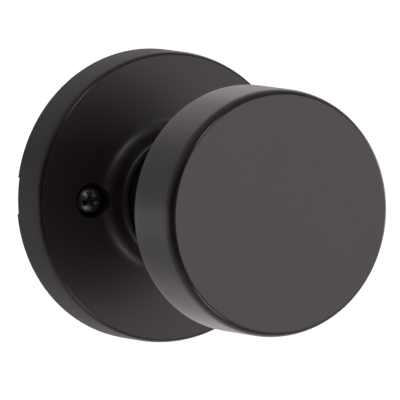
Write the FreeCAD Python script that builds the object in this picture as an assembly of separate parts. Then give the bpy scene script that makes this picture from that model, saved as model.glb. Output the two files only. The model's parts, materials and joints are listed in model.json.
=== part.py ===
import FreeCAD, Part
import math
import os

# Inside half of a passage door knob set: flat-faced knob, round rose, spring return.
# Frame: the origin is the centre of the rose's door face, +Z is up and the knob stands out
# along -Y. "d" is a distance out from the door (d = -y). Angles go from +X towards +Z.
# All sizes are in millimetres.

Vec = FreeCAD.Vector
ORIGIN = Vec(0, 0, 0)
OUT = Vec(0, -1, 0)
TOL = 0.001

# Rose: hollow cover with a raised hub
ROSE_R = 33.0
ROSE_DEPTH = 11.2
ROSE_WALL = 1.9
ROSE_EDGE_DEEP = 0.9
ROSE_EDGE_LONG = 2.4
HUB_TOP_D = 16.4
HUB_TOP_R = 14.6
HUB_FOOT_R = 15.8
HUB_EDGE = 0.9
HUB_COVE = 3.0
HUB_BORE_R = 13.4
HUB_POCKET_R = 14.2
HUB_POCKET_D = 11.1
NOTCH_LOW = -3.3
NOTCH_HIGH = 4.9
NOTCH_DEEP = 0.6
ROSE_RIB = 1.6
ROSE_RIB_D = 4.0

# Mounting screws: No. 8-32 with small domed heads
SCREW_SPACING = 39.5
SCREW_LENGTH = 25.4
SCREW_THREAD_R = 2.08
SCREW_SHANK_R = 1.85
SCREW_HOLE_R = 2.3
SCREW_HEAD_R = 3.05
SCREW_RIM_TOP_D = 9.8
SCREW_HEAD_TOP_D = 11.3
SCREW_SEAT_D = 7.6
SCREW_TIP_CHAMFER = 0.5
POCKET_R = 4.0
BOSS_R = 5.6
RECESS_ACROSS = 3.8
RECESS_FLOOR_ACROSS = 2.0
RECESS_SLOT = 1.0
RECESS_DEEP = 2.0
RECESS_WALL = 0.8
RECESS_CORE_R = 1.25
RECESS_CORE_FLOOR_R = 0.6
RECESS_TURN = 15.0

# Mounting plate, bearings and the two stop pins
PLATE_R = 30.6
PLATE_T = 2.0
BEARING_R = 10.2
BEARING_BORE_R = 9.05
BEARING_FLANGE_R = 10.5
BEARING_FLANGE_T = 0.5
PIN_R = 1.0
PIN_RING_R = 11.6
PIN_TOP_D = 5.2
PIN_GAP_DEG = 0.3
BUSH_BORE_R = 12.55
BUSH_TOP_D = 14.0
BUSH_FLANGE_R = 14.0
BUSH_FLANGE_T = 0.6

# Spring housing and its rivets
HOUSING_R = 13.6
HOUSING_WALL = 0.8
HOUSING_TOP_D = 10.3
HOUSING_HOLE_R = 9.7
EAR_END_R = 20.0
EAR_HALF_WIDTH = 4.0
RIVET_R = 1.5
RIVET_HEAD_R = 2.6
RIVET_HEAD_T = 1.0
RIVET_RING_R = 16.9

# Return spring
WIRE_R = 0.5
COIL_R = 10.4
COIL_PITCH = 1.15
COIL_TURNS = 2.75
COIL_START_D = 5.6
LEG_LOW_END_R = 12.3
LEG_HIGH_END_R = 13.3
LEG_SLOT_GAP = 0.15

# Drive sleeve, its square socket and the pieces on it
SLEEVE_R = 9.0
SLEEVE_BORE_R = 7.0
SLEEVE_BACK_D = -5.0
SLEEVE_FRONT_D = 51.8
FLAT_HALF = 8.0
GROOVE_DEEP = 0.6
SOCKET_R = 6.98
SOCKET_SQUARE = 8.1
SOCKET_BACK_D = -4.6
SOCKET_FRONT_D = 22.0
SOCKET_FLOOR = 2.0
CROSS_PIN_R = 1.0
CROSS_PIN_D = 16.0
CROSS_PIN_HALF = 8.85
CAM_BACK_D = 3.1
CAM_FRONT_D = 4.9
CAM_R = 10.2
LUG_R = 12.4
LUG_HALF_DEG = 10.0
FORK_IN_R = 11.2
FORK_OUT_R = 12.2
FORK_TOP_D = 6.7
FORK_PRONG_DEG = 6.0
FORK_GAP_DEG = 2.8
WASHER_BORE_R = 9.08
WAVE_R = 10.1
WAVE_T = 0.3
WAVE_RISE = 0.2
THRUST_R = 10.1
THRUST_T = 0.5
RING_T = 0.7
RING_R = 10.1
RING_OPEN_DEG = 38.0
RING_HOLE_R = 0.45
RING_HOLE_DEG = 7.0
SWING_DEG = 60.0
END_PLAY = 0.05
SLIP = 0.02

# Knob: shell crimped over a ribbed core with the neck
KNOB_R = 27.65
KNOB_BACK_D = 46.0
KNOB_FACE_D = 63.2
SHELL_WALL = 1.0
FACE_T = 1.5
FACE_EDGE_DEEP = 1.0
FACE_EDGE_LONG = 2.8
FACE_INNER_EDGE = 0.55
BACK_EDGE = 0.4
LIP_BORE_R = 25.6
LIP_T = 0.9
NECK_R = 12.5
NECK_BACK_D = 11.0
NECK_FLARE = 4.0
NECK_CHAMFER = 0.4
DISC_R = 26.5
DISC_T = 2.9
CORE_RING_IN_R = 24.4
CORE_TOP_D = 61.1
CORE_RIBS = 6
CORE_RIB_T = 1.8
CORE_WELL_R = 13.5
CORE_WASHER_R = 12.6
CORE_WASHER_T = 0.6
CORE_RING_R = 11.2

DISC_BACK_D = KNOB_BACK_D + LIP_T
DISC_FRONT_D = DISC_BACK_D + DISC_T
SCREW_SIDES = (-1, 1)


def rod(radius, d_from, d_to, x=0.0, z=0.0):
    """Round bar along the knob's axis between two distances from the door."""
    return Part.makeCylinder(radius, d_to - d_from, Vec(x, -d_from, z), OUT)


def tube(outer, inner, d_from, d_to):
    """Round tube on the knob's axis."""
    return rod(outer, d_from, d_to).cut(rod(inner, d_from, d_to))


def block(x_from, x_to, d_from, d_to, z_from, z_to):
    """Square-cornered block."""
    corner = Vec(x_from, -d_to, z_from)
    return Part.makeBox(x_to - x_from, d_to - d_from, z_to - z_from, corner)


def outline_face(corners):
    """Flat face in the plane z = 0 from (radius, d) corners."""
    points = [Vec(r, -d, 0) for r, d in corners]
    return Part.Face(Part.makePolygon(points + points[:1]))


def turned(corners):
    """Solid turned about the knob's axis from (radius, d) corners."""
    return outline_face(corners).revolve(ORIGIN, OUT, 360)


def turned_with_shoulder(corners, long):
    """Turned solid with an elliptic edge from its last corner, on its side, to its first."""
    points = [Vec(r, -d, 0) for r, d in corners]
    centre = points[0] + Vec(0, long, 0)
    quarter = Part.Ellipse(points[0], points[-1], centre)
    arc = Part.ArcOfEllipse(quarter, 0, math.pi / 2).toShape()
    outline = Part.Wire(Part.makePolygon(points).Edges + [arc])
    return Part.Face(outline).revolve(ORIGIN, OUT, 360)


def upright(radius, d, z_from, z_to):
    """Round bar along Z, at one distance from the door."""
    return Part.makeCylinder(radius, z_to - z_from, Vec(0, -d, z_from), Vec(0, 0, 1))


def sector(r_in, r_out, d_from, d_to, mid_deg, half_deg):
    """Part of a ring, centred on the angle mid_deg."""
    section = [(r_in, d_from), (r_out, d_from), (r_out, d_to), (r_in, d_to)]
    piece = outline_face(section).revolve(ORIGIN, OUT, 2 * half_deg)
    piece.rotate(ORIGIN, OUT, mid_deg - half_deg)
    return piece


def spoke(r_from, r_to, d_from, d_to, thickness, angle_deg):
    """Straight radial web at one angle."""
    web = block(r_from, r_to, d_from, d_to, -thickness / 2, thickness / 2)
    web.rotate(ORIGIN, OUT, angle_deg)
    return web


def around(radius, angle_deg):
    """The (x, z) place on a circle about the knob's axis."""
    angle = math.radians(angle_deg)
    return radius * math.cos(angle), radius * math.sin(angle)


def ring_edges(shape, radius, d, x=0.0, z=0.0):
    """Circular edges of one radius at one distance from the door."""
    found = []
    for edge in shape.Edges:
        curve = edge.Curve
        if not isinstance(curve, Part.Circle) or abs(curve.Radius - radius) > TOL:
            continue
        if (curve.Center - Vec(x, -d, z)).Length < TOL:
            found.append(edge)
    return found


def double_d(radius, d_from, d_to, half_width=FLAT_HALF):
    """Round bar with a flat on its left and right."""
    flats = block(-half_width, half_width, d_from, d_to, -radius, radius)
    return rod(radius, d_from, d_to).common(flats)


def rose_body():
    """Solid outside of the rose: disc, cove and slightly conical hub."""
    face_d = ROSE_DEPTH
    corners = [(ROSE_R - ROSE_EDGE_DEEP, face_d), (HUB_FOOT_R, face_d), (HUB_TOP_R, HUB_TOP_D),
               (0, HUB_TOP_D), (0, 0), (ROSE_R, 0), (ROSE_R, face_d - ROSE_EDGE_LONG)]
    body = turned_with_shoulder(corners, ROSE_EDGE_LONG)
    body = body.makeFillet(HUB_COVE, ring_edges(body, HUB_FOOT_R, face_d))
    return body.makeFillet(HUB_EDGE, ring_edges(body, HUB_TOP_R, HUB_TOP_D))


def rose():
    """Hollow cast rose with two screw bosses, ribs and pry notches."""
    cavity_top = ROSE_DEPTH - ROSE_WALL
    inner_r = ROSE_R - ROSE_WALL
    body = rose_body().cut(rod(inner_r, 0, cavity_top))
    for side in SCREW_SIDES:
        x = side * SCREW_SPACING / 2
        body = body.fuse(rod(BOSS_R, PLATE_T, cavity_top + TOL, x))
    for angle in (45, 135, 225, 315):
        rib = spoke(HUB_POCKET_R, inner_r + ROSE_WALL / 2, ROSE_RIB_D, cavity_top + TOL, ROSE_RIB, angle)
        body = body.fuse(rib)
    body = body.cut(rod(HUB_BORE_R, 0, HUB_TOP_D))
    body = body.cut(rod(HUB_POCKET_R, 0, HUB_POCKET_D))
    for side in SCREW_SIDES:
        x = side * SCREW_SPACING / 2
        body = body.cut(rod(SCREW_HOLE_R, 0, ROSE_DEPTH, x))
        body = body.cut(rod(POCKET_R, SCREW_SEAT_D, HUB_TOP_D, x))
        outer, inner = side * (ROSE_R + 1), side * (inner_r - 1)
        notch = block(min(outer, inner), max(outer, inner), 0, NOTCH_DEEP, NOTCH_LOW, NOTCH_HIGH)
        body = body.cut(notch)
    return body.removeSplitter()


def mounting_plate():
    """Steel disc with the bearing hole, two screw holes, rivet holes and pin holes."""
    plate = tube(PLATE_R, BEARING_R + SLIP, 0, PLATE_T)
    for side in SCREW_SIDES:
        plate = plate.cut(rod(SCREW_HOLE_R, 0, PLATE_T, side * SCREW_SPACING / 2))
        plate = plate.cut(rod(RIVET_R + SLIP, 0, PLATE_T, 0, side * RIVET_RING_R))
    for x, z in pin_places():
        plate = plate.cut(rod(PIN_R + SLIP, 0, PLATE_T, x, z))
    return plate


def plate_bearing():
    """Flanged bush, pushed into the plate from the front."""
    flange_top = PLATE_T + BEARING_FLANGE_T
    bush = rod(BEARING_R, 0, flange_top).fuse(rod(BEARING_FLANGE_R, PLATE_T, flange_top))
    return bush.cut(rod(BEARING_BORE_R, 0, flange_top)).removeSplitter()


def pin_places():
    """Where the stop pins stand, one each side of the lug's swing about straight down."""
    pin_half_deg = math.degrees(math.asin(PIN_R / PIN_RING_R))
    away = SWING_DEG + LUG_HALF_DEG + pin_half_deg + PIN_GAP_DEG
    return [around(PIN_RING_R, -90 - away), around(PIN_RING_R, -90 + away)]


def stop_pins():
    """Two plain pins pressed in the plate."""
    return Part.makeCompound([rod(PIN_R, 0, PIN_TOP_D, x, z) for x, z in pin_places()])


def neck_bush():
    """Plastic bush for the neck, with a flange behind the hub's step."""
    back = HUB_POCKET_D - BUSH_FLANGE_T
    bush = rod(HUB_BORE_R - SLIP, back, BUSH_TOP_D)
    bush = bush.fuse(rod(BUSH_FLANGE_R, back, HUB_POCKET_D))
    return bush.cut(rod(BUSH_BORE_R, back, BUSH_TOP_D)).removeSplitter()


def spring_housing():
    """Pressed cup with two riveted ears and a slot for the spring's upper leg."""
    inner_r = HOUSING_R - HOUSING_WALL
    ear_top = PLATE_T + HOUSING_WALL
    ears = block(-EAR_HALF_WIDTH, EAR_HALF_WIDTH, PLATE_T, ear_top, -EAR_END_R, EAR_END_R)
    cup = rod(HOUSING_R, PLATE_T, HOUSING_TOP_D)
    cup = cup.makeFillet(HOUSING_WALL, ring_edges(cup, HOUSING_R, HOUSING_TOP_D))
    cup = cup.fuse(ears).cut(rod(inner_r, PLATE_T, HOUSING_TOP_D - HOUSING_WALL))
    cup = cup.cut(rod(HOUSING_HOLE_R, PLATE_T, HOUSING_TOP_D))
    for side in SCREW_SIDES:
        cup = cup.cut(rod(RIVET_R + SLIP, PLATE_T, ear_top, 0, side * RIVET_RING_R))
    slot_half = WIRE_R + LEG_SLOT_GAP
    leg_d = COIL_START_D + COIL_PITCH * COIL_TURNS
    slot = block(inner_r - 1, HOUSING_R + 1, PLATE_T, leg_d + slot_half, -slot_half, slot_half)
    return cup.cut(slot).removeSplitter()


def housing_rivets():
    """Two rivets, flush behind the plate and domed in front of the ears."""
    rivets = []
    ear_top = PLATE_T + HOUSING_WALL
    for side in SCREW_SIDES:
        z = side * RIVET_RING_R
        head = rod(RIVET_HEAD_R, ear_top, ear_top + RIVET_HEAD_T, 0, z)
        rim = ring_edges(head, RIVET_HEAD_R, ear_top + RIVET_HEAD_T, 0, z)
        head = head.makeFillet(0.8 * RIVET_HEAD_T, rim)
        rivets.append(head.fuse(rod(RIVET_R, 0, ear_top, 0, z)).removeSplitter())
    return Part.makeCompound(rivets)


def recess(x):
    """Cross recess of one screw head: a tapered core and two crossed slots, narrower below."""
    top_d = SCREW_HEAD_TOP_D
    floor_d = top_d - RECESS_DEEP
    half, low, high = RECESS_SLOT / 2, RECESS_FLOOR_ACROSS / 2, RECESS_ACROSS / 2
    section = [(-low, floor_d), (low, floor_d), (high, top_d - RECESS_WALL), (high, top_d),
               (-high, top_d), (-high, top_d - RECESS_WALL)]
    hollow = Part.makeCone(RECESS_CORE_FLOOR_R, RECESS_CORE_R, RECESS_DEEP, Vec(0, -floor_d, 0), OUT)
    for turn in (RECESS_TURN, RECESS_TURN + 90):
        arm = outline_face(section).extrude(Vec(0, 0, RECESS_SLOT))
        arm.translate(Vec(0, 0, -half))
        arm.rotate(ORIGIN, OUT, turn)
        hollow = hollow.fuse(arm)
    hollow.translate(Vec(x, 0, 0))
    return hollow


def mounting_screws():
    """Two machine screws: domed fillister head, relieved shank, thread at its outer size."""
    screws = []
    rise = SCREW_HEAD_TOP_D - SCREW_RIM_TOP_D
    dome_r = (SCREW_HEAD_R ** 2 + rise ** 2) / (2 * rise)
    tip_d = SCREW_SEAT_D - SCREW_LENGTH
    for side in SCREW_SIDES:
        x = side * SCREW_SPACING / 2
        head = rod(SCREW_HEAD_R, SCREW_SEAT_D, SCREW_HEAD_TOP_D, x)
        head = head.common(Part.makeSphere(dome_r, Vec(x, dome_r - SCREW_HEAD_TOP_D, 0)))
        thread = rod(SCREW_THREAD_R, tip_d, 0, x)
        thread = thread.makeChamfer(SCREW_TIP_CHAMFER, ring_edges(thread, SCREW_THREAD_R, tip_d, x))
        screw = head.fuse([rod(SCREW_SHANK_R, -TOL, SCREW_SEAT_D + 1, x), thread])
        screws.append(screw.cut(recess(x)).removeSplitter())
    return Part.makeCompound(screws)


def return_spring():
    """Torsion spring: coil round the sleeve, one leg in the cam's fork, one in the housing."""
    rise = COIL_PITCH * COIL_TURNS
    helix = Part.makeHelix(COIL_PITCH, rise, COIL_R)
    tangent = Vec(0, 2 * math.pi * COIL_R, COIL_PITCH)
    profile = Part.Wire(Part.makeCircle(WIRE_R, Vec(COIL_R, 0, 0), tangent))
    coil = Part.Wire(helix).makePipeShell([profile], True, True)
    coil.rotate(ORIGIN, Vec(1, 0, 0), 90)
    coil.rotate(ORIGIN, OUT, 90)
    coil.translate(Vec(0, -COIL_START_D, 0))
    root_r = COIL_R - WIRE_R / 2
    low = upright(WIRE_R, COIL_START_D, root_r, LEG_LOW_END_R)
    high_at = Vec(root_r, -COIL_START_D - rise, 0)
    high = Part.makeCylinder(WIRE_R, LEG_HIGH_END_R - root_r, high_at, Vec(1, 0, 0))
    return coil.fuse([low, high])


def drive_sleeve():
    """Tube with flats at both ends and a groove for each retaining ring."""
    body = rod(SLEEVE_R, CAM_FRONT_D, DISC_BACK_D)
    body = body.fuse([double_d(SLEEVE_R, SLEEVE_BACK_D, CAM_FRONT_D),
                      double_d(SLEEVE_R, DISC_BACK_D, SLEEVE_FRONT_D)])
    body = body.cut(rod(SLEEVE_BORE_R, SLEEVE_BACK_D, SLEEVE_FRONT_D))
    for groove_d in (back_ring_d(), front_ring_d()):
        groove = tube(SLEEVE_R + 1, SLEEVE_R - GROOVE_DEEP, groove_d - SLIP, groove_d + RING_T + SLIP)
        body = body.cut(groove)
    pin_hole = upright(CROSS_PIN_R + SLIP, CROSS_PIN_D, -SLEEVE_R, SLEEVE_R)
    return body.cut(pin_hole).removeSplitter()


def back_ring_d():
    """Rear face of the ring behind the plate."""
    return -END_PLAY - THRUST_T - RING_T - SLIP


def front_ring_d():
    """Rear face of the ring in front of the core."""
    return DISC_FRONT_D + CORE_WASHER_T + SLIP


def spindle_socket():
    """Round insert with the square hole for the latch spindle, closed at its front."""
    insert = rod(SOCKET_R, SOCKET_BACK_D, SOCKET_FRONT_D)
    half = SOCKET_SQUARE / 2
    square = block(-half, half, SOCKET_BACK_D, CROSS_PIN_D - SOCKET_FLOOR, -half, half)
    pin_hole = upright(CROSS_PIN_R + SLIP, CROSS_PIN_D, -SOCKET_R, SOCKET_R)
    return insert.cut([square, pin_hole]).removeSplitter()


def socket_pin():
    """Cross pin through the sleeve and the insert."""
    return upright(CROSS_PIN_R, CROSS_PIN_D, -CROSS_PIN_HALF, CROSS_PIN_HALF)


def cam_plate():
    """Keyed plate with the stop lug below and a two-pronged fork above."""
    plate = rod(CAM_R, CAM_BACK_D, CAM_FRONT_D)
    plate = plate.fuse(sector(CAM_R - 1, LUG_R, CAM_BACK_D, CAM_FRONT_D, -90, LUG_HALF_DEG))
    fork_half = FORK_GAP_DEG + FORK_PRONG_DEG
    plate = plate.fuse(sector(CAM_R - 1, FORK_OUT_R, CAM_BACK_D, CAM_FRONT_D, 90, fork_half))
    for side in SCREW_SIDES:
        middle = 90 + side * (FORK_GAP_DEG + FORK_PRONG_DEG / 2)
        prong = sector(FORK_IN_R, FORK_OUT_R, CAM_BACK_D, FORK_TOP_D, middle, FORK_PRONG_DEG / 2)
        plate = plate.fuse(prong)
    keyed_bore = double_d(SLEEVE_R + SLIP, CAM_BACK_D, CAM_FRONT_D, FLAT_HALF + SLIP)
    return plate.cut(keyed_bore).removeSplitter()


def wave_curve(radius, d_mid):
    """Closed curve with three waves along the axis."""
    points = []
    steps = 36
    for step in range(steps):
        angle = 360 * step / steps
        x, z = around(radius, angle)
        wave = WAVE_RISE / 2 * math.cos(math.radians(3 * angle))
        points.append(Vec(x, -d_mid - wave, z))
    curve = Part.BSplineCurve()
    curve.interpolate(Points=points, PeriodicFlag=True)
    return curve.toShape()


def wave_washer():
    """Spring washer with three waves between the bearing flange and the cam plate."""
    middle = CAM_BACK_D - WAVE_T - WAVE_RISE / 2 - SLIP
    surface = Part.makeRuledSurface(wave_curve(WASHER_BORE_R, middle), wave_curve(WAVE_R, middle))
    return surface.extrude(Vec(0, -WAVE_T, 0))


def thrust_washer():
    """Flat washer behind the bearing."""
    return tube(THRUST_R, WASHER_BORE_R, -END_PLAY - THRUST_T, -END_PLAY)


def open_ring(outer_r, d_from):
    """Retaining ring with a gap and two holes for the pliers."""
    inner_r = SLEEVE_R - GROOVE_DEEP + SLIP
    half_deg = 180 - RING_OPEN_DEG / 2
    ring = sector(inner_r, outer_r, d_from, d_from + RING_T, 90, half_deg)
    for side in SCREW_SIDES:
        x, z = around((inner_r + outer_r) / 2, -90 + side * (RING_OPEN_DEG / 2 + RING_HOLE_DEG))
        ring = ring.cut(rod(RING_HOLE_R, d_from, d_from + RING_T, x, z))
    return ring


def retaining_ring():
    """Ring in the sleeve's rear groove."""
    return open_ring(RING_R, back_ring_d())


def core_ring():
    """Ring in the sleeve's front groove."""
    return open_ring(CORE_RING_R, front_ring_d())


def core_washer():
    """Flat washer in front of the core."""
    return tube(CORE_WASHER_R, WASHER_BORE_R, DISC_FRONT_D, DISC_FRONT_D + CORE_WASHER_T)


def knob_core():
    """Cast core: neck, flared into a disc, with a rim and radial ribs inside the shell."""
    core = turned([(0, NECK_BACK_D), (NECK_R, NECK_BACK_D), (NECK_R, DISC_BACK_D),
                   (DISC_R, DISC_BACK_D), (DISC_R, DISC_FRONT_D), (0, DISC_FRONT_D)])
    core = core.makeFillet(NECK_FLARE, ring_edges(core, NECK_R, DISC_BACK_D))
    core = core.makeChamfer(NECK_CHAMFER, ring_edges(core, NECK_R, NECK_BACK_D))
    core = core.fuse(tube(DISC_R, CORE_RING_IN_R, DISC_FRONT_D - TOL, CORE_TOP_D))
    for number in range(CORE_RIBS):
        angle = 360 * number / CORE_RIBS
        web_end = CORE_RING_IN_R + 1
        core = core.fuse(spoke(CORE_WELL_R, web_end, DISC_FRONT_D - TOL, CORE_TOP_D, CORE_RIB_T, angle))
    round_bore = rod(SLEEVE_R + SLIP, NECK_BACK_D, DISC_BACK_D)
    keyed_bore = double_d(SLEEVE_R + SLIP, DISC_BACK_D, DISC_FRONT_D, FLAT_HALF + SLIP)
    return core.cut([round_bore, keyed_bore]).removeSplitter()


def knob_shell():
    """Drawn cup: flat face, cylindrical side and a lip turned in behind the core."""
    inner_r = KNOB_R - SHELL_WALL
    inner_d = KNOB_FACE_D - FACE_T
    corners = [(KNOB_R - FACE_EDGE_DEEP, KNOB_FACE_D), (0, KNOB_FACE_D), (0, inner_d),
               (inner_r, inner_d), (inner_r, DISC_BACK_D), (LIP_BORE_R, DISC_BACK_D),
               (LIP_BORE_R, KNOB_BACK_D), (KNOB_R, KNOB_BACK_D), (KNOB_R, KNOB_FACE_D - FACE_EDGE_LONG)]
    shell = turned_with_shoulder(corners, FACE_EDGE_LONG)
    shell = shell.makeFillet(BACK_EDGE, ring_edges(shell, KNOB_R, KNOB_BACK_D))
    return shell.makeFillet(FACE_INNER_EDGE, ring_edges(shell, inner_r, inner_d))


PIECES = {
    "rose": rose,
    "mounting_plate": mounting_plate,
    "plate_bearing": plate_bearing,
    "spring_housing": spring_housing,
    "housing_rivets": housing_rivets,
    "stop_pins": stop_pins,
    "neck_bush": neck_bush,
    "mounting_screws": mounting_screws,
    "return_spring": return_spring,
    "knob_shell": knob_shell,
    "knob_core": knob_core,
    "core_washer": core_washer,
    "core_ring": core_ring,
    "drive_sleeve": drive_sleeve,
    "spindle_socket": spindle_socket,
    "socket_pin": socket_pin,
    "cam_plate": cam_plate,
    "wave_washer": wave_washer,
    "thrust_washer": thrust_washer,
    "retaining_ring": retaining_ring,
}

os.makedirs("parts", exist_ok=True)
for name, make in PIECES.items():
    shape = make()
    for solid in shape.Solids:
        assert solid.isValid() and solid.isClosed() and solid.Volume > 0, name
    print(f"{name}: {len(shape.Solids)} solid(s), {shape.Volume:.1f} mm3")
    shape.exportStep(f"parts/{name}.step")
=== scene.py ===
import json
import math

import bmesh
import bpy
from mathutils import Matrix, Vector

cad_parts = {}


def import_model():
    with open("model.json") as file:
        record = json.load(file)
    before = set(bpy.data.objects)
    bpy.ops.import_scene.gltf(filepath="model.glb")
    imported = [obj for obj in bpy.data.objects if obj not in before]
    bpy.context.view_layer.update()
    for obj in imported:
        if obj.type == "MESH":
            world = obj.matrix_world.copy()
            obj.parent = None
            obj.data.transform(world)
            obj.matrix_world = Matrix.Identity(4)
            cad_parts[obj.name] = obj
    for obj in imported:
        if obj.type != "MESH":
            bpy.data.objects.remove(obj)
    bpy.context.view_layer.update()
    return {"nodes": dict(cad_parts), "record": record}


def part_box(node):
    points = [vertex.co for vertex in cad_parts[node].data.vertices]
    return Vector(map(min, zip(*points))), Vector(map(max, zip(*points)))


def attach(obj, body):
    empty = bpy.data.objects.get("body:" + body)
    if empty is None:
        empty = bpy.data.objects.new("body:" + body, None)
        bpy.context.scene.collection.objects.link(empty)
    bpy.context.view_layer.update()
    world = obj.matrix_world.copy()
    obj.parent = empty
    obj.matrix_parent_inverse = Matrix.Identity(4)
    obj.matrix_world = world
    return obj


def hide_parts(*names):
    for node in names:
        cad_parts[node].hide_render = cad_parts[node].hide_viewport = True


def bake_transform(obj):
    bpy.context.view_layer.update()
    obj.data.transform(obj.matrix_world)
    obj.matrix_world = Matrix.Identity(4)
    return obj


# Inside half of a passage door knob set in satin black. The frame's origin is the centre of the
# rose's door face; "d" is a distance out from the door, along -Y. Angles go from +X towards +Z.
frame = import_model()
NODES = frame["nodes"]
MM = 0.001

# Camera: a very long lens far back, to the left of the knob's axis and a little above it
LENS_MM = 993.66
SENSOR_MM = 36.0
CAMERA_YAW = math.radians(-28.44)
CAMERA_PITCH = math.radians(4.606)
CAMERA_DISTANCE = 2.5
CAMERA_RIGHT = 0.01222
CAMERA_UP = -0.00139

# Stage: a pale floor well below the object, lit from within beyond the near edge of the glow
FLOOR_Z = -0.35
FLOOR_HALF = 40.0
FLOOR_GLOW = 0.635
FLOOR_COLOR = (0.9, 0.9, 0.9)
GLOW_FROM = 0.8
GLOW_FULL = 2.2
WORLD_LIGHT = 0.65
LIGHT_TINT = (0.99, 0.92, 0.965)

# The studio is dimmer to the front left, where nothing is lit
DIM_TOWARDS = (-0.87, -0.49, 0.0)
DIM_DEPTH = 0.9
DIM_FLATTEN = 1.8
DIM_FROM = 0.17
DIM_FULL = 0.87

# Softboxes: direction from the object, distance, diameter and power. They face a point that is
# LIGHTS_AT from the frame's origin.
LIGHTS_AT = (0.0, -0.03, 0.0)
SOFTBOXES = {
    "front_right": ((0.49, -0.867, 0.0), 1.6, 1.2, 12.6),
    "right": ((1.0, -0.2, 0.0), 1.6, 1.0, 15.0),
    "front_high": ((-0.28, -0.68, 0.68), 1.6, 0.6, 7.6),
    "front_low": ((-0.25, -0.52, -0.82), 0.33, 0.16, 0.3),
    "back_high": ((0.1, 0.867, 0.45), 1.6, 0.9, 0.78),
    "back_high_right": ((0.5, 0.8, 0.35), 1.6, 0.7, 0.54),
    "back_low": ((0.12, 0.867, -0.45), 0.66, 0.36, 0.1),
    "back_low_right": ((0.45, 0.8, -0.35), 0.66, 0.3, 0.06),
}

# Screws: No. 8-32 thread below a domed head with a cross recess. The crest and the flanks are
# shares of half a pitch.
THREAD_PITCH = 25.4 / 32 * MM
THREAD_R = 2.08 * MM
THREAD_DEEP = 0.49 * MM
THREAD_CREST = 0.12
THREAD_FLANK = 0.70
THREAD_STEPS = 12
SHANK_R = 1.85 * MM
SHANK_IN_HEAD = 0.4 * MM
SHANK_PLAIN_TO = 0.3 * MM
SHANK_SIDES = 40
SCREW_X = 19.75 * MM
HEAD_R = 3.05 * MM
HEAD_EDGE = 0.2 * MM
HEAD_SEAT = 7.6 * MM
HEAD_RIM_TOP = 9.8 * MM
HEAD_TOP = 11.3 * MM
SCREW_LENGTH = 25.4 * MM
RECESS_HALF = 2.15 * MM
RECESS_FLOOR_HALF = 1.0 * MM
RECESS_SLOT = 1.25 * MM
RECESS_DEEP = 2.3 * MM
RECESS_WALL = 1.5 * MM
RECESS_CORE_R = 1.5 * MM
RECESS_CORE_FLOOR_R = 0.6 * MM
RECESS_TURN = math.radians(15.0)
CUT_ABOVE = 0.3 * MM

# Knob shell
SHELL_WALL = 1.0 * MM
FACE_T = 1.5 * MM
FACE_EDGE_DEEP = 1.3 * MM
FACE_EDGE_LONG = 3.0 * MM
INNER_EDGE = 0.55 * MM
BACK_EDGE = 0.4 * MM
LIP_BORE = 25.6 * MM
LIP_T = 0.9 * MM
LIP_EDGE = 0.2 * MM
LIP_INNER_EDGE = 0.1 * MM
LONGEST_RUN = 2.0 * MM

# Return spring
WIRE_R = 0.5 * MM
COIL_R = 10.4 * MM
COIL_PITCH = 1.15 * MM
COIL_TURNS = 2.75
COIL_START = 5.6 * MM
LEG_LOW_END = 12.3 * MM
LEG_HIGH_END = 13.3 * MM
LEG_BEND_R = 0.9 * MM
WIRE_SIDES = 20
WIRE_END_EDGE = 0.08 * MM


# ---------------------------------------------------------------- outlines and turned pieces

def rounded(corners, steps=6):
    """Points of an outline whose (radius, d, fillet) corners are rounded by arcs."""
    points = []
    last = len(corners) - 1
    for i, (r, d, fillet) in enumerate(corners):
        if fillet == 0.0 or i in (0, last):
            points.append((r, d))
            continue
        here = Vector((r, d))
        to_before = (Vector(corners[i - 1][:2]) - here).normalized()
        to_after = (Vector(corners[i + 1][:2]) - here).normalized()
        half = to_before.angle(to_after) / 2
        centre = here + (to_before + to_after).normalized() * (fillet / math.sin(half))
        start = here + to_before * (fillet / math.tan(half)) - centre
        end = here + to_after * (fillet / math.tan(half)) - centre
        sweep = start.angle_signed(end)
        for step in range(steps + 1):
            turn = Matrix.Rotation(-sweep * step / steps, 2)
            points.append(tuple(centre + turn @ start))
    return points


def divided(points, longest):
    """The outline with its long straight runs divided."""
    result = [points[0]]
    for before, after in zip(points, points[1:]):
        parts = max(1, math.ceil(math.dist(before, after) / longest))
        for part in range(1, parts + 1):
            share = part / parts
            result.append(tuple(a + (b - a) * share for a, b in zip(before, after)))
    return result


def new_object(name, mesh):
    piece = bpy.data.objects.new(name, mesh)
    bpy.context.scene.collection.objects.link(piece)
    return piece


def smooth(mesh, degrees=35.0):
    """Smooth shading with the sharp edges kept."""
    mesh.shade_smooth()
    mesh.set_sharp_from_angle(angle=math.radians(degrees))


def lathe(shape, outline, segments, x=0.0):
    """Adds the skin turned from a (radius, d) outline about an axis through x, along Y."""
    rings = []
    for r, d in outline:
        if r < 1e-9:
            rings.append([shape.verts.new((x, -d, 0.0))])
            continue
        ring = []
        for k in range(segments):
            angle = 2 * math.pi * k / segments
            ring.append(shape.verts.new((x + r * math.cos(angle), -d, r * math.sin(angle))))
        rings.append(ring)
    for low, high in zip(rings, rings[1:]):
        for k in range(segments):
            n = (k + 1) % segments
            if len(low) == 1:
                shape.faces.new((low[0], high[n], high[k]))
            elif len(high) == 1:
                shape.faces.new((low[k], low[n], high[0]))
            else:
                shape.faces.new((low[k], low[n], high[n], high[k]))


def mesh_object(name, shape):
    """Object from a bmesh, its skin turned outwards."""
    bmesh.ops.recalc_face_normals(shape, faces=shape.faces)
    mesh = bpy.data.meshes.new(name)
    shape.to_mesh(mesh)
    shape.free()
    smooth(mesh)
    return new_object(name, mesh)


def turned(name, outline, segments=224):
    """Piece turned about the knob's axis from an outline that starts and ends on it."""
    shape = bmesh.new()
    lathe(shape, outline, segments)
    return mesh_object(name, shape)


# ---------------------------------------------------------------- pieces

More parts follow.
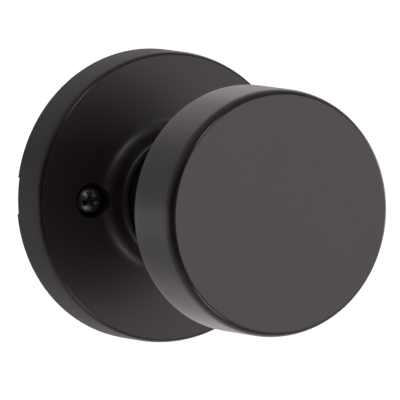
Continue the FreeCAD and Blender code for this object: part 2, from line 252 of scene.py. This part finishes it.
def shoulder(outer, face, steps=28):
    """Elliptic edge between the flat face and the side, its turn steps even in angle."""
    points = []
    for step in range(steps + 1):
        slope = math.pi / 2 * (1 - step / steps)
        turn = math.atan2(FACE_EDGE_LONG * math.sin(slope), FACE_EDGE_DEEP * math.cos(slope))
        points.append((outer - FACE_EDGE_DEEP * (1 - math.cos(turn)),
                       face - FACE_EDGE_LONG * (1 - math.sin(turn))))
    return points


def knob_shell():
    """Drawn cup whose side leans in softly to the face, with a lip turned in behind the core."""
    low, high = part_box("knob_shell")
    outer, back, face = high.x, -high.y, -low.y
    inner = outer - SHELL_WALL
    corners = [(outer, face - FACE_EDGE_LONG, 0), (outer, back, BACK_EDGE),
               (LIP_BORE, back, LIP_EDGE), (LIP_BORE, back + LIP_T, LIP_INNER_EDGE),
               (inner, back + LIP_T, 0), (inner, face - FACE_T, INNER_EDGE), (0, face - FACE_T, 0)]
    outline = [(0, face)] + shoulder(outer, face) + rounded(corners, 10)[1:]
    piece = turned("drawn_shell", divided(outline, LONGEST_RUN))
    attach(piece, "knob")
    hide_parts("knob_shell")
    return piece


def thread_radius(turn, along, length):
    """Radius of a rolled thread at a share of a turn and a distance from its start."""
    phase = (along / THREAD_PITCH - turn) % 1.0
    flank = min(1.0, max(0.0, (abs(phase - 0.5) * 2 - THREAD_CREST) / THREAD_FLANK))
    run_in = min(1.0, along / THREAD_PITCH)
    run_out = min(1.0, (length - along) / THREAD_PITCH)
    relief = (THREAD_R - SHANK_R) * (1 - run_in) + THREAD_DEEP * (1 - run_out)
    return THREAD_R - max(THREAD_DEEP * flank * run_in, relief)


def screw_shank(shape, x):
    """Adds the threaded shank of one screw, from inside its head to its tip."""
    sides = SHANK_SIDES
    length = SCREW_LENGTH - HEAD_SEAT
    steps = int(length / (THREAD_PITCH / THREAD_STEPS))
    levels = [HEAD_SEAT + SHANK_IN_HEAD, HEAD_SEAT, SHANK_PLAIN_TO]
    levels += [-length * k / steps for k in range(steps + 1)]
    rings = []
    for d in levels:
        ring = []
        for k in range(sides):
            angle = 2 * math.pi * k / sides
            r = SHANK_R if d > 0 else thread_radius(k / sides, -d, length)
            ring.append(shape.verts.new((x + r * math.cos(angle), -d, r * math.sin(angle))))
        rings.append(ring)
    for low, high in zip(rings, rings[1:]):
        for k in range(sides):
            n = (k + 1) % sides
            shape.faces.new((low[k], low[n], high[n], high[k]))
    shape.faces.new(rings[0])
    shape.faces.new(list(reversed(rings[-1])))


def dome_outline():
    """Outline of a screw head from the middle of its dome round to the middle of its seat."""
    rise = HEAD_TOP - HEAD_RIM_TOP
    dome_r = (HEAD_R ** 2 + rise ** 2) / (2 * rise)
    reach = math.asin((HEAD_R - HEAD_EDGE) / dome_r)
    dome = []
    for step in range(13):
        angle = reach * step / 12
        dome.append((dome_r * math.sin(angle), HEAD_TOP - dome_r * (1 - math.cos(angle))))
    edge = rounded([(*dome[-1], 0), (HEAD_R, HEAD_RIM_TOP, HEAD_EDGE), (HEAD_R, HEAD_SEAT, 0)], 5)
    return dome + edge[1:] + [(0.0, HEAD_SEAT)]


def recess_arm(shape, turn):
    """Adds one slot of the cross recess, narrower towards its floor, for cutting out."""
    floor, top = HEAD_TOP - RECESS_DEEP, HEAD_TOP + CUT_ABOVE
    rim = HEAD_TOP - RECESS_WALL
    section = [(-RECESS_FLOOR_HALF, floor), (RECESS_FLOOR_HALF, floor), (RECESS_HALF, rim),
               (RECESS_HALF, top), (-RECESS_HALF, top), (-RECESS_HALF, rim)]
    sides = []
    for z in (-RECESS_SLOT / 2, RECESS_SLOT / 2):
        corners = []
        for along, d in section:
            x = along * math.cos(turn) - z * math.sin(turn)
            corners.append(shape.verts.new((x, -d, along * math.sin(turn) + z * math.cos(turn))))
        sides.append(corners)
    count = len(section)
    for k in range(count):
        n = (k + 1) % count
        shape.faces.new((sides[0][k], sides[0][n], sides[1][n], sides[1][k]))
    shape.faces.new(list(reversed(sides[0])))
    shape.faces.new(sides[1])


def cut(piece, tool):
    """Cuts one piece's shape out of another and removes the tool."""
    step = piece.modifiers.new("cut", "BOOLEAN")
    step.operation = "DIFFERENCE"
    step.solver = "EXACT"
    step.use_self = True
    step.object = tool
    graph = bpy.context.evaluated_depsgraph_get()
    made = bpy.data.meshes.new_from_object(piece.evaluated_get(graph))
    piece.modifiers.clear()
    piece.data = made
    bpy.data.objects.remove(tool)


def screw_head():
    """Mesh of a domed head with its cross recess, about the knob's axis."""
    shape = bmesh.new()
    lathe(shape, dome_outline(), 96)
    head = mesh_object("head", shape)
    for turn in (RECESS_TURN, RECESS_TURN + math.pi / 2):
        tool = bmesh.new()
        recess_arm(tool, turn)
        cut(head, mesh_object("arm", tool))
    tool = bmesh.new()
    floor = HEAD_TOP - RECESS_DEEP
    lathe(tool, [(0, floor), (RECESS_CORE_FLOOR_R, floor), (RECESS_CORE_R, HEAD_TOP),
                 (RECESS_CORE_R, HEAD_TOP + MM), (0, HEAD_TOP + MM)], 32)
    cut(head, mesh_object("core", tool))
    mesh = head.data
    bpy.data.objects.remove(head)
    return mesh


def machine_screws():
    """Both mounting screws, with recessed heads and rolled threads."""
    head = screw_head()
    shape = bmesh.new()
    for x in (-SCREW_X, SCREW_X):
        before = len(shape.verts)
        shape.from_mesh(head)
        shape.verts.ensure_lookup_table()
        bmesh.ops.translate(shape, verts=shape.verts[before:], vec=(x, 0, 0))
        screw_shank(shape, x)
    piece = mesh_object("machine_screws", shape)
    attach(piece, "rose_assembly")
    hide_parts("mounting_screws")
    return piece


def leg_path(angle, end_r, d, towards):
    """Spring leg from its end to where its bend meets the coil; towards is the coil's side."""
    out = Vector((math.cos(angle), 0, math.sin(angle)))
    side = Vector((-math.sin(angle), 0, math.cos(angle))) * towards
    reach = math.sqrt((COIL_R + LEG_BEND_R) ** 2 - LEG_BEND_R ** 2)
    centre = out * reach + side * LEG_BEND_R
    points = [out * (end_r + (reach - end_r) * share) for share in (0, 0.1, 0.5, 0.9)]
    sweep = math.pi / 2 - math.asin(LEG_BEND_R / (COIL_R + LEG_BEND_R))
    for step in range(9):
        turn = sweep * step / 9
        points.append(centre - side * LEG_BEND_R * math.cos(turn) - out * LEG_BEND_R * math.sin(turn))
    return [point + Vector((0, -d, 0)) for point in points]


def spring_path():
    """Middle line of the spring's wire, low leg first."""
    meet = math.asin(LEG_BEND_R / (COIL_R + LEG_BEND_R))
    rise = COIL_PITCH * COIL_TURNS
    path = leg_path(math.pi / 2, LEG_LOW_END, COIL_START, 1.0)
    steps = 220
    first, last = math.pi / 2 + meet, math.pi / 2 + 2 * math.pi * COIL_TURNS - meet
    for step in range(steps + 1):
        angle = first + (last - first) * step / steps
        d = COIL_START + rise * step / steps
        path.append(Vector((COIL_R * math.cos(angle), -d, COIL_R * math.sin(angle))))
    return path + list(reversed(leg_path(0.0, LEG_HIGH_END, COIL_START + rise, -1.0)))


def wire_ring(shape, centre, along, radius):
    """Adds one ring of a wire's skin round a point of its middle line."""
    across = along.cross(Vector((0, -1, 0))).normalized()
    up = across.cross(along).normalized()
    ring = []
    for k in range(WIRE_SIDES):
        angle = 2 * math.pi * k / WIRE_SIDES
        place = centre + (across * math.cos(angle) + up * math.sin(angle)) * radius
        ring.append(shape.verts.new(place))
    return ring


def coil_spring():
    """Torsion spring of round wire with bent legs and broken end edges."""
    path = spring_path()
    shape = bmesh.new()
    rings = []
    for i, point in enumerate(path):
        along = (path[min(i + 1, len(path) - 1)] - path[max(i - 1, 0)]).normalized()
        if i == 0:
            rings.append(wire_ring(shape, point, along, WIRE_R - WIRE_END_EDGE))
            point = point + along * WIRE_END_EDGE
        if i == len(path) - 1:
            rings.append(wire_ring(shape, point - along * WIRE_END_EDGE, along, WIRE_R))
            rings.append(wire_ring(shape, point, along, WIRE_R - WIRE_END_EDGE))
        else:
            rings.append(wire_ring(shape, point, along, WIRE_R))
    for low, high in zip(rings, rings[1:]):
        for k in range(WIRE_SIDES):
            n = (k + 1) % WIRE_SIDES
            shape.faces.new((low[k], low[n], high[n], high[k]))
    shape.faces.new(list(reversed(rings[0])))
    shape.faces.new(rings[-1])
    piece = mesh_object("coil_spring", shape)
    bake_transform(piece)
    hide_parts("return_spring")
    return piece


# ---------------------------------------------------------------- materials

# The black coat is matt with fine pores, so it mirrors less than plain lacquer
COAT_LEVEL = 0.25
COAT_DARK = (0.0055, 0.0036, 0.0030)
COAT_LIGHT = (0.0075, 0.0052, 0.0046)
# Colour of the coat's outward edges: lighter than the coat, a painted highlight
COAT_PAINTED_EDGE_HIGHLIGHT = (0.013, 0.011, 0.011)

# Roughness of the coat on a turned piece: its face, its rubbed edge and its side, and the
# distances from the axis between which one gives way to the next. The rose's side is as cast.
SHELL_COAT = ((0.30, 0.12, 0.30), (26.6 * MM, 26.8 * MM), (27.52 * MM, 27.64 * MM))
CASTING_COAT = ((0.40, 0.16, 0.55), (32.05 * MM, 32.3 * MM), (32.85 * MM, 32.99 * MM))


class Finish:
    """One material's node tree, with short calls for the nodes that the finishes share."""

    def __init__(self, name, roughness, metallic=0.0, level=0.5):
        self.material = bpy.data.materials.new(name)
        self.material.use_nodes = True
        self.tree = self.material.node_tree
        self.shader = self.tree.nodes["Principled BSDF"]
        self.shader.inputs["Roughness"].default_value = roughness
        self.shader.inputs["Metallic"].default_value = metallic
        self.shader.inputs["Specular IOR Level"].default_value = level
        self.place = self.tree.nodes.new("ShaderNodeTexCoord").outputs["Object"]

    def join(self, source, target):
        self.tree.links.new(source, target)

    def noise(self, scale, detail=2.0, stretch=(1.0, 1.0, 1.0)):
        """Noise whose grain is 1/scale metres across, drawn out along the axes by stretch."""
        spread = self.tree.nodes.new("ShaderNodeMapping")
        spread.inputs["Scale"].default_value = [1.0 / s for s in stretch]
        self.join(self.place, spread.inputs["Vector"])
        grain = self.tree.nodes.new("ShaderNodeTexNoise")
        grain.inputs["Scale"].default_value = scale
        grain.inputs["Detail"].default_value = detail
        self.join(spread.outputs["Vector"], grain.inputs["Vector"])
        return grain.outputs["Fac"]

    def range(self, value, low, high, start=0.3, end=0.7):
        """The value from start..end carried to low..high."""
        node = self.tree.nodes.new("ShaderNodeMapRange")
        for name, number in (("From Min", start), ("From Max", end), ("To Min", low), ("To Max", high)):
            node.inputs[name].default_value = number
        self.join(value, node.inputs["Value"])
        return node.outputs["Result"]

    def mix(self, share, low, high):
        """Colour between two, by share; each is a colour or another node's output."""
        node = self.tree.nodes.new("ShaderNodeMix")
        node.data_type = "RGBA"
        self.join(share, node.inputs["Factor"])
        for socket, value in (("A", low), ("B", high)):
            target = [i for i in node.inputs if i.name == socket and i.type == "RGBA"][0]
            if isinstance(value, tuple):
                target.default_value = (*value, 1.0)
            else:
                self.join(value, target)
        return [o for o in node.outputs if o.type == "RGBA"][0]

    def between(self, share, low, high):
        """Value between two other nodes' values, by share."""
        node = self.tree.nodes.new("ShaderNodeMix")
        self.join(share, node.inputs["Factor"])
        for socket, value in (("A", low), ("B", high)):
            self.join(value, [i for i in node.inputs if i.name == socket and i.type == "VALUE"][0])
        return [o for o in node.outputs if o.type == "VALUE"][0]

    def off_axis(self, start, end):
        """0 within one distance of the knob's axis, 1 beyond another."""
        flat = self.tree.nodes.new("ShaderNodeVectorMath")
        flat.operation = "MULTIPLY"
        flat.inputs[1].default_value = (1.0, 0.0, 1.0)
        self.join(self.place, flat.inputs[0])
        away = self.tree.nodes.new("ShaderNodeVectorMath")
        away.operation = "LENGTH"
        self.join(flat.outputs["Vector"], away.inputs[0])
        return self.range(away.outputs["Value"], 0.0, 1.0, start, end)

    def edges(self, start=0.53, end=0.62):
        """0 on flat and hollow places, 1 on outward edges."""
        geometry = self.tree.nodes.new("ShaderNodeNewGeometry")
        return self.range(geometry.outputs["Pointiness"], 0.0, 1.0, start, end)

    def softened(self, radius):
        """Surface normal with its edges rounded by radius."""
        node = self.tree.nodes.new("ShaderNodeBevel")
        node.samples = 6
        node.inputs["Radius"].default_value = radius
        return node.outputs["Normal"]

    def bump(self, value, height, normal=None):
        """Surface normal raised by a value times a height in metres."""
        node = self.tree.nodes.new("ShaderNodeBump")
        node.inputs["Distance"].default_value = height
        self.join(value, node.inputs["Height"])
        if normal is not None:
            self.join(normal, node.inputs["Normal"])
        return node.outputs["Normal"]

    def wear(self, color=None, roughness=None, normal=None):
        """Plugs what varies over the surface into the shader."""
        for name, value in (("Base Color", color), ("Roughness", roughness), ("Normal", normal)):
            if value is not None:
                self.join(value, self.shader.inputs[name])
        return self.material


def black_coat(name, zones, edge_r):
    """Satin black baked coat: fine grain, slow unevenness, rubbed smoother on the face's edge, with a
    painted highlight on outward edges.
    """
    roughness, edge_reach, side_reach = zones
    finish = Finish(name, roughness[0], level=COAT_LEVEL)
    tint = finish.mix(finish.noise(70.0, 3.0), COAT_DARK, COAT_LIGHT)
    # Outward edges are painted lighter: a painted highlight along the edges
    color = finish.mix(finish.edges(), tint, COAT_PAINTED_EDGE_HIGHLIGHT)
    grain = finish.noise(1600.0, 3.0)
    face, edge, side = [finish.range(grain, r - 0.012, r + 0.012) for r in roughness]
    rough = finish.between(finish.off_axis(*edge_reach), face, edge)
    rough = finish.between(finish.off_axis(*side_reach), rough, side)
    normal = finish.bump(finish.noise(5200.0, 2.0), 0.4e-6, finish.softened(edge_r))
    return finish.wear(color, rough, normal)


def zinc_steel():
    """Zinc-plated pressed steel: rolled grain, cloudy bluish passivation."""
    finish = Finish("zinc_steel", 0.34, 1.0)
    cloud = finish.noise(120.0, 4.0)
    color = finish.mix(finish.range(cloud, 0.0, 1.0), (0.56, 0.58, 0.61), (0.66, 0.64, 0.57))
    grain = finish.noise(4200.0, 3.0, (22.0, 1.0, 1.0))
    rough = finish.range(grain, 0.26, 0.44)
    normal = finish.bump(grain, 1.5e-6, finish.softened(0.12 * MM))
    return finish.wear(color, rough, normal)


def bright_steel():
    """Turned steel: fine rings round the axis."""
    finish = Finish("bright_steel", 0.28, 1.0)
    rings = finish.noise(5200.0, 2.0, (60.0, 1.0, 60.0))
    color = finish.mix(finish.noise(160.0, 3.0), (0.52, 0.52, 0.53), (0.64, 0.63, 0.62))
    rough = finish.range(rings, 0.2, 0.38)
    normal = finish.bump(rings, 2.0e-6, finish.softened(0.1 * MM))
    return finish.wear(color, rough, normal)


def spring_steel():
    """Oil-tempered wire: dark, drawn along its length, straw and blue tints."""
    finish = Finish("spring_steel", 0.3, 1.0)
    cloud = finish.range(finish.noise(240.0, 3.0), 0.0, 1.0)
    color = finish.mix(cloud, (0.20, 0.19, 0.19), (0.33, 0.29, 0.24))
    grain = finish.noise(6000.0, 2.0)
    rough = finish.range(grain, 0.24, 0.42)
    return finish.wear(color, rough, finish.bump(grain, 1.2e-6))


def bearing_bronze():
    """Sintered bronze: pores filled with oil."""
    finish = Finish("bearing_bronze", 0.45, 1.0)
    pores = finish.noise(3800.0, 3.0)
    color = finish.mix(finish.range(pores, 0.0, 1.0), (0.24, 0.15, 0.07), (0.60, 0.41, 0.21))
    rough = finish.range(pores, 0.6, 0.38)
    return finish.wear(color, rough, finish.bump(pores, 6.0e-6, finish.softened(0.1 * MM)))


def bush_plastic():
    """Black acetal with a faint moulded texture."""
    finish = Finish("bush_plastic", 0.5)
    grain = finish.noise(2600.0, 3.0)
    color = finish.mix(grain, (0.012, 0.012, 0.013), (0.022, 0.022, 0.023))
    rough = finish.range(grain, 0.42, 0.58)
    return finish.wear(color, rough, finish.bump(grain, 3.0e-6, finish.softened(0.1 * MM)))


def socket_casting():
    """Zinc die casting: grey, with flow marks."""
    finish = Finish("socket_casting", 0.46, 1.0)
    flow = finish.noise(380.0, 4.0, (1.0, 3.0, 1.0))
    color = finish.mix(finish.range(flow, 0.0, 1.0), (0.30, 0.30, 0.32), (0.47, 0.47, 0.47))
    rough = finish.range(flow, 0.38, 0.56)
    normal = finish.bump(finish.noise(2800.0, 3.0), 4.0e-6, finish.softened(0.15 * MM))
    return finish.wear(color, rough, normal)


def black_screw():
    """Black-coated steel screw, its outward edges painted lighter as a painted highlight."""
    finish = Finish("black_screw", 0.32, level=0.4)
    # Outward edges are painted lighter: a painted highlight on the rims of the head and recess
    color = finish.mix(finish.edges(0.54, 0.66), (0.010, 0.0095, 0.0095), (0.075, 0.070, 0.066))
    grain = finish.noise(3600.0, 3.0)
    rough = finish.range(grain, 0.26, 0.40)
    return finish.wear(color, rough, finish.bump(grain, 3.0e-6, finish.softened(0.08 * MM)))


# ---------------------------------------------------------------- stage

def camera():
    """The scene's camera, placed by its yaw, pitch and distance from the frame's origin."""
    yaw, pitch = CAMERA_YAW, CAMERA_PITCH
    right = Vector((math.cos(yaw), math.sin(yaw), 0))
    back = Vector((math.sin(yaw) * math.cos(pitch), -math.cos(yaw) * math.cos(pitch), math.sin(pitch)))
    up = back.cross(right)
    data = bpy.data.cameras.new("camera")
    data.lens = LENS_MM
    data.sensor_width = SENSOR_MM
    data.clip_start = 0.01
    data.clip_end = 100.0
    eye = new_object("camera", data)
    place = right * CAMERA_RIGHT + up * CAMERA_UP + back * CAMERA_DISTANCE
    turn = Matrix((right, up, back)).transposed().to_4x4()
    eye.matrix_world = Matrix.Translation(place) @ turn
    bpy.context.scene.camera = eye


def dimming(tree, place):
    """Brightness by direction: 1 all round, less towards the unlit side of the studio."""
    flatten = tree.nodes.new("ShaderNodeMapping")
    flatten.inputs["Scale"].default_value = (1.0, 1.0, DIM_FLATTEN)
    tree.links.new(place, flatten.inputs["Vector"])
    unit = tree.nodes.new("ShaderNodeVectorMath")
    unit.operation = "NORMALIZE"
    tree.links.new(flatten.outputs["Vector"], unit.inputs[0])
    facing = tree.nodes.new("ShaderNodeVectorMath")
    facing.operation = "DOT_PRODUCT"
    facing.inputs[1].default_value = DIM_TOWARDS
    tree.links.new(unit.outputs["Vector"], facing.inputs[0])
    return smooth_range(tree, facing.outputs["Value"], DIM_FROM, DIM_FULL, 1.0, 1.0 - DIM_DEPTH)


def smooth_range(tree, value, start, end, low, high):
    """The value from start..end carried smoothly to low..high."""
    node = tree.nodes.new("ShaderNodeMapRange")
    node.interpolation_type = "SMOOTHSTEP"
    for name, number in (("From Min", start), ("From Max", end), ("To Min", low), ("To Max", high)):
        node.inputs[name].default_value = number
    tree.links.new(value, node.inputs["Value"])
    return node.outputs["Result"]


def world():
    """Soft white light from all round, dimmer on one side."""
    sky = bpy.data.worlds.new("studio")
    sky.use_nodes = True
    tree = sky.node_tree
    background = tree.nodes["Background"]
    background.inputs["Strength"].default_value = WORLD_LIGHT
    place = tree.nodes.new("ShaderNodeTexCoord").outputs["Generated"]
    color = tree.nodes.new("ShaderNodeVectorMath")
    color.operation = "SCALE"
    color.inputs[0].default_value = LIGHT_TINT
    tree.links.new(dimming(tree, place), color.inputs["Scale"])
    tree.links.new(color.outputs["Vector"], background.inputs["Color"])
    bpy.context.scene.world = sky
    bpy.context.scene.view_settings.view_transform = "Standard"


def softboxes():
    """Round softboxes that face the object."""
    for name, (direction, distance, diameter, power) in SOFTBOXES.items():
        data = bpy.data.lights.new(name, "AREA")
        data.shape = "DISK"
        data.size = diameter
        data.energy = power
        data.color = LIGHT_TINT
        light = new_object(name, data)
        towards = Vector(direction).normalized()
        turn = towards.to_track_quat("Z", "Y").to_matrix().to_4x4()
        light.matrix_world = Matrix.Translation(towards * distance + Vector(LIGHTS_AT)) @ turn
        light.visible_camera = False


def floor_finish():
    """Pale matt floor, dim on the unlit side; beyond the object it is lit from within."""
    material = bpy.data.materials.new("floor")
    material.use_nodes = True
    tree = material.node_tree
    shader = tree.nodes["Principled BSDF"]
    shader.inputs["Roughness"].default_value = 0.9
    shader.inputs["Emission Strength"].default_value = FLOOR_GLOW
    place = tree.nodes.new("ShaderNodeTexCoord").outputs["Object"]
    color = tree.nodes.new("ShaderNodeVectorMath")
    color.operation = "SCALE"
    color.inputs[0].default_value = FLOOR_COLOR
    # The floor's colour is painted darker towards the unlit side: painted shade
    tree.links.new(dimming(tree, place), color.inputs["Scale"])
    tree.links.new(color.outputs["Vector"], shader.inputs["Base Color"])
    away = tree.nodes.new("ShaderNodeVectorMath")
    away.operation = "LENGTH"
    tree.links.new(place, away.inputs[0])
    glow = tree.nodes.new("ShaderNodeVectorMath")
    glow.operation = "SCALE"
    tree.links.new(color.outputs["Vector"], glow.inputs[0])
    share = smooth_range(tree, away.outputs["Value"], GLOW_FROM, GLOW_FULL, 0.0, 1.0)
    tree.links.new(share, glow.inputs["Scale"])
    tree.links.new(glow.outputs["Vector"], shader.inputs["Emission Color"])
    return material


def floor():
    """Plain floor well below the object."""
    mesh = bpy.data.meshes.new("floor")
    half = FLOOR_HALF
    mesh.from_pydata([(-half, -half, FLOOR_Z), (half, -half, FLOOR_Z), (half, half, FLOOR_Z),
                      (-half, half, FLOOR_Z)], [], [(0, 1, 2, 3)])
    plane = new_object("floor", mesh)
    mesh.materials.append(floor_finish())


# ---------------------------------------------------------------- putting it together

FINISHES = {
    "black_coat": black_coat("black_coat", SHELL_COAT, 0.05 * MM),
    "black_casting": black_coat("black_casting", CASTING_COAT, 0.1 * MM),
    "black_screw": black_screw(),
    "zinc_steel": zinc_steel(),
    "bright_steel": bright_steel(),
    "spring_steel": spring_steel(),
    "bearing_bronze": bearing_bronze(),
    "bush_plastic": bush_plastic(),
    "socket_casting": socket_casting(),
}


def paint(piece, slot):
    """Gives a piece the finish of one of the record's slots."""
    piece.data.materials.clear()
    piece.data.materials.append(FINISHES[slot])


for row in frame["record"]["subparts"]:
    paint(NODES[row["node"]], row["material_slot"])

paint(knob_shell(), "black_coat")
paint(machine_screws(), "black_screw")
paint(coil_spring(), "spring_steel")
camera()
world()
softboxes()
floor()
